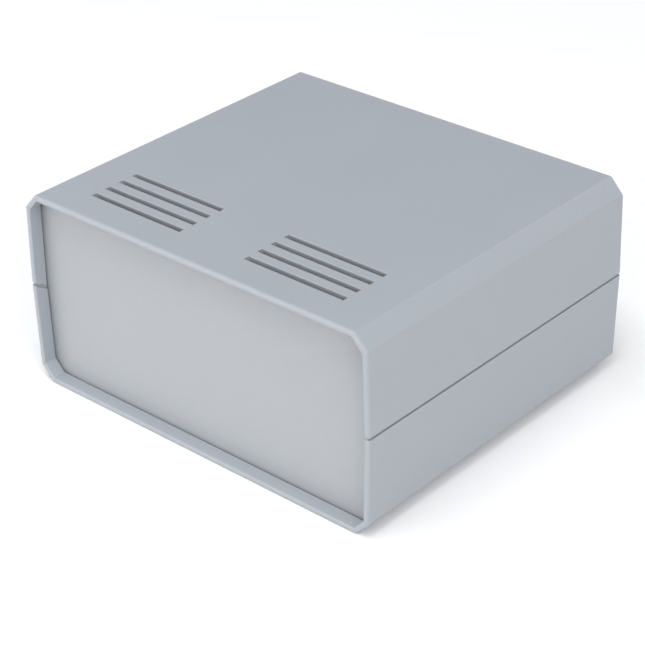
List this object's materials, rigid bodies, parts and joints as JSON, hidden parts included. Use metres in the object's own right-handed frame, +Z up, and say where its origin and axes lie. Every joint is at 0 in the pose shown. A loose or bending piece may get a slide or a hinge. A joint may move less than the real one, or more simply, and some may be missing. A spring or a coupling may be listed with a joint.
{
  "type": "plastic project box",
  "caption": "Desktop plastic project box: two moulded half shells with bevelled long edges, vent slots and recessed slide-in end panels, closed by screws from below.",
  "frame": {"origin": "middle of the base, on the surface that the box stands on", "axes": "+X across the front towards its right side, +Y from the front panel to the rear panel, +Z up"},
  "size_m": [0.145, 0.128, 0.07],
  "materials": {
    "shell_plastic": "fine matt moulding texture, light bluish grey",
    "panel_plastic": "smooth matt, light grey",
    "screw_steel": "zinc-plated steel"
  },
  "bodies": {
    "root": {"bottom_shell": "shell_plastic", "top_shell": "shell_plastic", "front_panel": "panel_plastic", "rear_panel": "panel_plastic", "case_screws": "screw_steel"}
  },
  "joints": []
}
